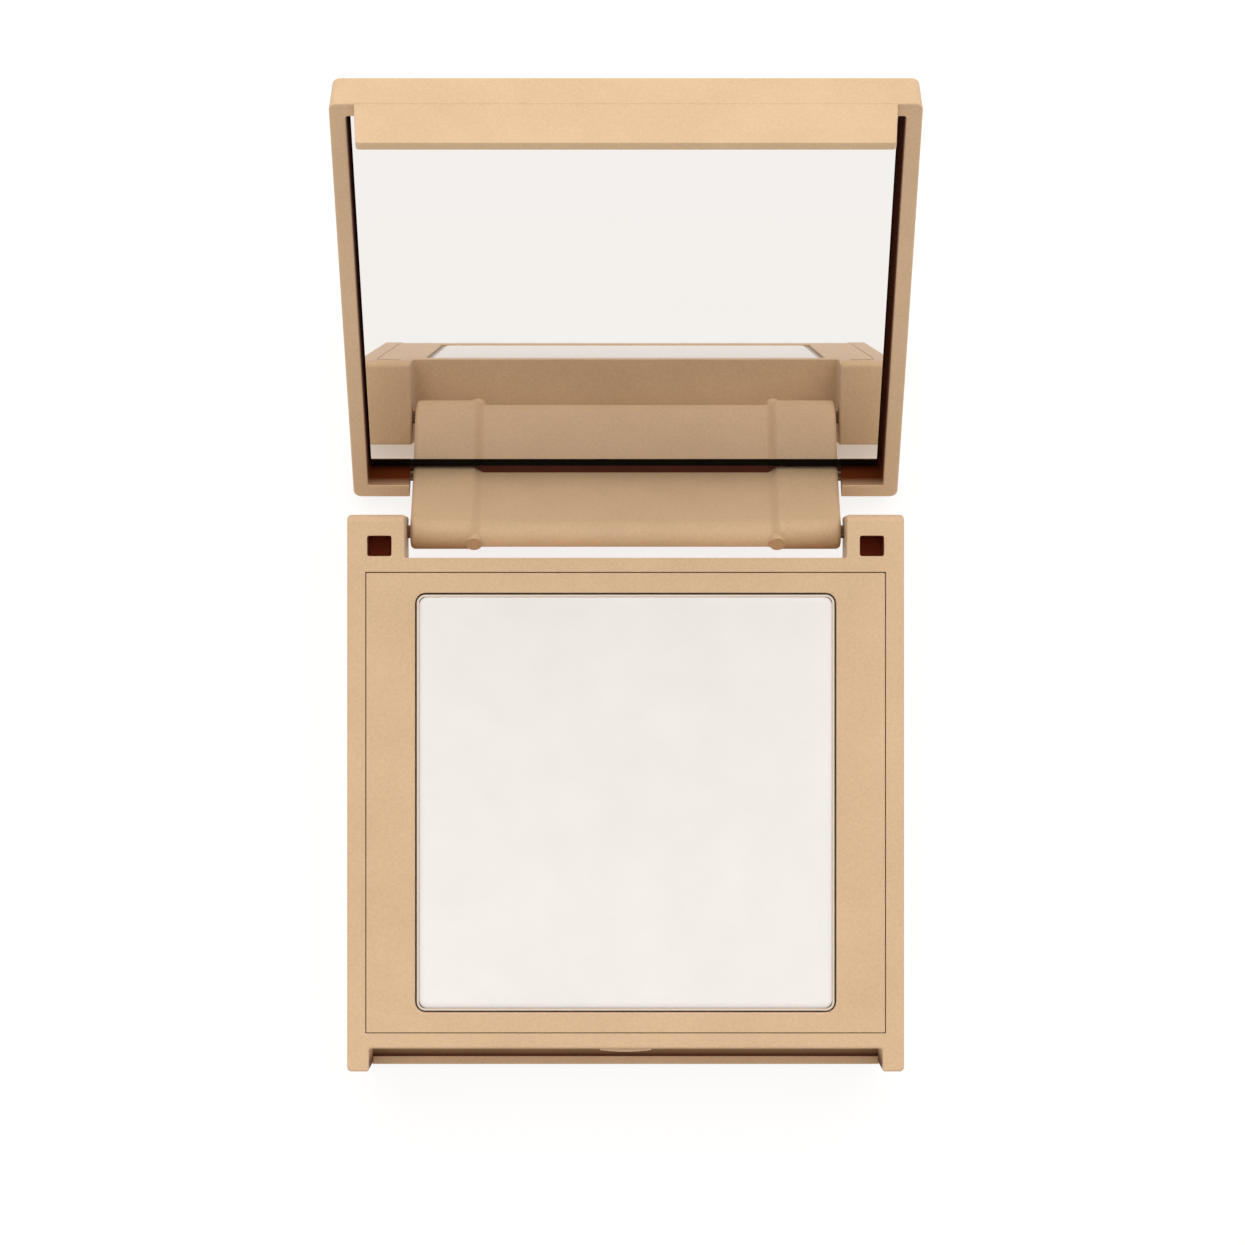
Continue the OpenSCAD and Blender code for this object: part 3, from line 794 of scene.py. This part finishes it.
def lid_piece():
    """The lid shell: a drafted block with a hollow, a gap for the link, bores, a flap and a bead."""
    block = rectangle(-HALF_W + DRAFT, HALF_W - DRAFT, 0, LID_LEN, LID_UPRIGHT, 0.2, LID_EDGE)
    lean = [0.0, -DRAFT / LID_T, 0.0, -DRAFT / LID_T]
    piece = new_piece("lid_case", loft("lid", rounded_rings(block, -LID_T, 0, lean), in_lid),
                      CASE_PLASTIC,
                      # Painted shade: darker deeper in the hollow and in the gap for the link.
                      soft_touch_plastic("soft-touch moulded ABS, painted shade in the lid", INWARD,
                                         (T_OUTER + LID_T + 0.7) * MM, (T_OUTER + LID_T - 1.3) * MM))

    def flap_place(x, t, s):
        return in_lid(x, s, -t)
    flap = [(side * x, t, 0.4, CRISP, CRISP)
            for side, x, t in ((-1, FLAP_TIP_X, -FLAP_H), (1, FLAP_TIP_X, -FLAP_H),
                               (1, FLAP_X, 0.6), (-1, FLAP_X, 0.6))]
    flap_rings = rounded_rings(flap, LID_LEN - FLAP_T, LID_LEN - LET_IN)
    bead_s = LID_LEN - FLAP_T + BEAD_R - 0.95
    hollow = rectangle(-HALF_W + RIM_SIDE, HALF_W - RIM_SIDE, RIM_HINGE, LID_LEN - RIM_FRONT,
                       0.3, -0.15, SHARP)
    gap = rectangle(-NOTCH_X, NOTCH_X, -PAST, LINK_NOTCH_S, 0.2, -FLARE, SHARP)
    cut = [loft("hollow", rounded_rings(hollow, SKIN_T - LID_T, 0, beyond=PAST), in_lid),
           loft("gap", rounded_rings(gap, -LINK_NOTCH_DEPTH, 0, beyond=PAST), in_lid)]
    for side in (-1, 1):
        ends = sorted((side * (NOTCH_X - PAST), side * (NOTCH_X + PIN_REACH)))
        cut.append(bore(LID_PIN_R, *ends, lambda x, s, t: in_lid(x, LID_PIN_S + s, LID_PIN_T + t)))
    bead = bore(BEAD_R, -BEAD_X, BEAD_X, lambda x, s, t: in_lid(x, bead_s + s, BEAD_T + t))
    combine(piece, [loft("flap", flap_rings, flap_place), bead], cut)
    smooth_edges(piece)

    def in_hollow(centre):
        x, s, t = to_lid(centre)
        in_tray = t > SKIN_T - LID_T - 0.1 and abs(x) < HALF_W - RIM_SIDE + 0.1 \
            and RIM_HINGE - 0.1 < s < LID_LEN - RIM_FRONT + 0.1
        in_gap = t > -LINK_NOTCH_DEPTH - 0.1 and abs(x) < NOTCH_X + 0.01 \
            and 0.1 < s < LINK_NOTCH_S + 0.1
        return t < -0.2 and (in_tray or in_gap)
    # Painted shade in the hollow and the gap for the link.
    paint_inside(piece, 1, in_hollow)
    return piece


finish_piece(lid_piece(), "lid", "case_plastic", "lid_shell")

# %% [markdown]
# ### Link
#
# The link joins the base to the lid with a knuckle at each end and a lower web between them. Its two
# cross sections are cut from the engineering model with a plane. Points at the same bearings from a
# centre are then found on both, so a ring can be anything between web and knuckle, and the loft runs
# smoothly from one to the other.


# %% Link sections
def section(node, x):
    """The outline, as (y, z) pairs in mm, where a plane across X cuts a node."""
    shape = bmesh.new()
    shape.from_mesh(NODES[node].data)
    bmesh.ops.remove_doubles(shape, verts=shape.verts, dist=0.001 * MM)
    everything = [*shape.verts, *shape.edges, *shape.faces]
    cut = bmesh.ops.bisect_plane(shape, geom=everything, plane_co=(x * MM, 0, 0), plane_no=(1, 0, 0))
    points = [(v.co.y / MM, v.co.z / MM) for v in cut["geom_cut"] if isinstance(v, bmesh.types.BMVert)]
    shape.free()
    return points


LINK_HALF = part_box("hinge_link")[1].x / MM
BLEND_OUT, BLEND_IN = 18.1, 16.65
LUG_X, LUG_R, LUG_REACH = 17.6, 1.0, 2.15
LUG_START, LUG_EDGE = 0.4, 0.15
LINK_BORE_RADII = {"base_hinge_pin_left": 0.78, "lid_hinge_pin_left": 0.63}
LINK_BORE_DEPTH = 4.55
knuckle_raw = section("hinge_link", 19.4)
web_raw = section("hinge_link", 5.0)
LINK_CENTRE = tuple(sum(p[i] for p in web_raw) / len(web_raw) for i in (0, 1))


def bearing(point):
    """The direction of a point from the link's centre."""
    return math.atan2(point[1] - LINK_CENTRE[1], point[0] - LINK_CENTRE[0])


def in_order(points):
    """Points sorted round the link's centre."""
    return sorted(points, key=bearing)


def reach(points, angle):
    """Where the ray at a bearing from the centre leaves an outline."""
    direction = (math.cos(angle), math.sin(angle))
    for a, b in zip(points, points[1:] + points[:1]):
        ax, ay = a[0] - LINK_CENTRE[0], a[1] - LINK_CENTRE[1]
        bx, by = b[0] - LINK_CENTRE[0], b[1] - LINK_CENTRE[1]
        side_a = direction[0] * ay - direction[1] * ax
        side_b = direction[0] * by - direction[1] * bx
        if side_a <= 0 < side_b or side_b <= 0 < side_a:
            share = side_a / (side_a - side_b)
            x, y = ax + share * (bx - ax), ay + share * (by - ay)
            if x * direction[0] + y * direction[1] > 0:
                return x + LINK_CENTRE[0], y + LINK_CENTRE[1]
    return min(points, key=lambda p: abs(bearing(p) - angle))


knuckle_raw, web_raw = in_order(knuckle_raw), in_order(web_raw)
bearings = []
for angle in sorted(bearing(p) for p in knuckle_raw + web_raw):
    if not bearings or angle - bearings[-1] > math.radians(0.25):
        bearings.append(angle + math.radians(0.01))
KNUCKLE = [reach(knuckle_raw, angle) for angle in bearings]
WEB = [reach(web_raw, angle) for angle in bearings]
print("link sections have", len(bearings), "points each")


# %% Link
def link_ring(x, share, inset=0.0):
    """A ring at x: share 0 is the web and 1 the knuckle, moved inward by inset."""
    mixed = [(w[0] + (k[0] - w[0]) * share, w[1] + (k[1] - w[1]) * share) for w, k in zip(WEB, KNUCKLE)]
    ring = []
    for i, (y, z) in enumerate(mixed):
        before, after = mixed[i - 1], mixed[(i + 1) % len(mixed)]
        run = Vector((after[0] - before[0], after[1] - before[1]))
        run = run.normalized() if run.length > 0 else Vector((1, 0))
        ring.append((x, y - run.y * inset, z + run.x * inset))
    return ring


def link_piece():
    """The link: web, blends and knuckles in one loft, with pin bores cut and two small lugs joined."""
    end_radius, blend_steps = 0.55, 8
    half = []
    for step in range(blend_steps + 1):
        share = step / blend_steps
        half.append((BLEND_IN + (BLEND_OUT - BLEND_IN) * share, share * share * (3 - 2 * share), 0.0))
    for step in range(ROUND_STEPS + 1):
        angle = QUARTER * step / ROUND_STEPS
        x = LINK_HALF - end_radius * (1 - math.sin(angle))
        half.append((x, 1.0, end_radius * (1 - math.cos(angle))))
    stations = [(-x, share, inset) for x, share, inset in reversed(half)] + half
    piece = new_piece("link_arm", loft("link", [link_ring(*s) for s in stations], in_case), CASE_PLASTIC)
    cut, joined, axes = [], [], []
    for node, radius in LINK_BORE_RADII.items():
        low, high = (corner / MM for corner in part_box(node))
        middle = (low + high) / 2
        axes.append(Vector((0, middle.y, middle.z)))
        for side in (-1, 1):
            ends = sorted((side * (LINK_HALF - LINK_BORE_DEPTH), side * (LINK_HALF + PAST)))
            cut.append(bore(radius, *ends, lambda x, y, z, m=middle: in_case(x, m.y + y, m.z + z)))
    down = Vector(axes[1] - axes[0]).normalized()
    across = Vector((0, -down.z, down.y))
    for side in (-1, 1):
        lug_rings = [[(LUG_R * f * math.cos(a), LUG_R * f * math.sin(a), height)
                      for a in (math.tau * step / 24 for step in range(24))]
                     for f, height in ((1, LUG_START), (1, LUG_REACH - LUG_EDGE),
                                       (0.93, LUG_REACH), (0.5, LUG_REACH))]
        joined.append(loft("lug", lug_rings, lambda x, v, out, side=side: (
            axes[0] + Vector((side * LUG_X + x, 0, 0)) + across * v - down * out) * MM))
    combine(piece, joined, cut)
    smooth_edges(piece, math.radians(35))
    return piece


finish_piece(link_piece(), "link", "case_plastic", "hinge_link")

# %% [markdown]
# ### Hinge pins
#
# Each pin is a short steel wire with fine ridges rolled along it, so that it bites into the plastic of
# the ear. The ridges repeat, so Geometry Nodes make them: a thin bar is instanced on every point of a
# circle round a core, and the instances are made real before the mesh is taken.


# %% Ridged pins
def pin_tree(material):
    """A node group that makes a core with ridges along it, laid along X about a centre."""
    tree = bpy.data.node_groups.new("ridged pin", "GeometryNodeTree")
    for name, kind in (("Radius", "NodeSocketFloat"), ("Length", "NodeSocketFloat"),
                       ("Ridges", "NodeSocketInt"), ("Ridge Height", "NodeSocketFloat"),
                       ("Centre", "NodeSocketVector")):
        tree.interface.new_socket(name, in_out="INPUT", socket_type=kind)
    tree.interface.new_socket("Geometry", in_out="OUTPUT", socket_type="NodeSocketGeometry")
    given = add_node(tree, "NodeGroupInput").outputs
    core_radius = add_node(tree, "ShaderNodeMath", {"operation": "SUBTRACT"}, {
        0: given["Radius"], 1: given["Ridge Height"]}).outputs[0]
    core = add_node(tree, "GeometryNodeMeshCylinder", {"Vertices": 48}, {
        "Radius": core_radius, "Depth": given["Length"]}).outputs["Mesh"]
    circle = add_node(tree, "GeometryNodeMeshCircle", links={
        "Vertices": given["Ridges"], "Radius": core_radius}).outputs["Mesh"]
    ridge_length = add_node(tree, "ShaderNodeMath", {"operation": "MULTIPLY", 1: 0.94}, {
        0: given["Length"]}).outputs[0]
    bar = add_node(tree, "GeometryNodeMeshCylinder", {"Vertices": 4}, {
        "Radius": given["Ridge Height"], "Depth": ridge_length}).outputs["Mesh"]
    step = add_node(tree, "ShaderNodeMath", {"operation": "DIVIDE", 0: math.tau}, {
        1: given["Ridges"]}).outputs[0]
    index = add_node(tree, "GeometryNodeInputIndex").outputs["Index"]
    turn = add_node(tree, "ShaderNodeMath", {"operation": "MULTIPLY"}, {0: index, 1: step}).outputs[0]
    facing = add_node(tree, "ShaderNodeCombineXYZ", links={"Z": turn}).outputs["Vector"]
    ridges = add_node(tree, "GeometryNodeInstanceOnPoints", links={
        "Points": circle, "Instance": bar, "Rotation": facing}).outputs["Instances"]
    both = add_node(tree, "GeometryNodeJoinGeometry", links={"Geometry": core})
    tree.links.new(ridges, both.inputs["Geometry"])
    laid = add_node(tree, "GeometryNodeTransform", {"Rotation": (0, QUARTER, 0)}, {
        "Geometry": both.outputs["Geometry"], "Translation": given["Centre"]}).outputs["Geometry"]
    real = add_node(tree, "GeometryNodeRealizeInstances", links={"Geometry": laid}).outputs["Geometry"]
    painted = add_node(tree, "GeometryNodeSetMaterial", {"Material": material}, {"Geometry": real})
    add_node(tree, "NodeGroupOutput", links={"Geometry": painted.outputs["Geometry"]})
    return tree


PIN_TREE = pin_tree(PIN_STEEL)


def pin_piece(node):
    """A ridged pin where the frame has a plain one."""
    low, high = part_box(node)
    piece = new_piece(node.replace("hinge_pin", "ridged_pin"), bpy.data.meshes.new(node))
    modifier = piece.modifiers.new("ridges", "NODES")
    modifier.node_group = PIN_TREE
    values = {"Radius": (high.z - low.z) / 2, "Length": high.x - low.x, "Ridges": 20,
              "Ridge Height": 0.07 * MM, "Centre": list((low + high) / 2)}
    for item in PIN_TREE.interface.items_tree:
        if item.in_out == "INPUT":
            modifier[item.identifier] = values[item.name]
    apply_modifiers(piece)
    finish_piece(piece, NODES[node]["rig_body"], "pin_steel", node)
    return piece


pins = [pin_piece(f"{part}_hinge_pin_{side}") for part in ("base", "lid") for side in ("left", "right")]
print(len(pins), "pins with", len(pins[0].data.polygons), "faces each")

# %% [markdown]
# ### Mirror
#
# The mirror is a plate of float glass, silvered behind. The silver stops short of the hinge end, so
# the glass there looks into the dark hollow behind it. That strip, the ground edges and the back of
# the plate are painted black, as the shade of that hollow. The plate has a ground edge all round,
# made by four rings, and the strip is a face of its own.


# %% Mirror plate
BARE_STRIP = spans("mirror_silver")[1][0] - spans("mirror_glass")[1][0]


def glass_mesh():
    """A glass plate with a ground edge, and a line where the silver stops."""
    ground = 0.12
    (x0, x1), (s0, s1), (t0, t1) = spans("mirror_glass")
    shape = bmesh.new()

    def ring(inset, t):
        return [shape.verts.new((Vector((x, 0, 0)) + ALONG * s + INWARD * t) * MM)
                for x, s in ((x0 + inset, s0 + inset), (x1 - inset, s0 + inset),
                             (x1 - inset, s0 + BARE_STRIP), (x1 - inset, s1 - inset),
                             (x0 + inset, s1 - inset), (x0 + inset, s0 + BARE_STRIP))]
    rings = [ring(ground, t0), ring(0, t0 + ground), ring(0, t1 - ground), ring(ground, t1)]
    for lower, upper in zip(rings, rings[1:]):
        for i in range(6):
            j = (i + 1) % 6
            shape.faces.new((lower[i], lower[j], upper[j], upper[i])).material_index = 1
    for loop, silver_index in ((rings[-1], 0), (rings[0], 1)):
        shape.faces.new([loop[i] for i in (0, 1, 2, 5)]).material_index = 1
        shape.faces.new([loop[i] for i in (5, 2, 3, 4)]).material_index = silver_index
    bmesh.ops.recalc_face_normals(shape, faces=shape.faces)
    mesh = bpy.data.meshes.new("mirror_glass")
    shape.to_mesh(mesh)
    shape.free()
    return mesh


mirror_piece = new_piece("mirror_plate", glass_mesh(), SILVERED, GLASS_PAINTED_AS_SHADE)
finish_piece(mirror_piece, "lid", "mirror_silver", "mirror_glass")
print("bare strip, mm:", round(BARE_STRIP, 2))

# %% Parts that keep their engineering mesh
KEPT = {
    "powder_pan": PAN_METAL,
    "pan_glue_pad": HOT_MELT,
    "mirror_silver": BACK_PAINT,
    "mirror_tape": FOAM_TAPE,
}
for node, material in KEPT.items():
    NODES[node].data.materials.clear()
    NODES[node].data.materials.append(material)
print("kept", len(KEPT), "engineering meshes")
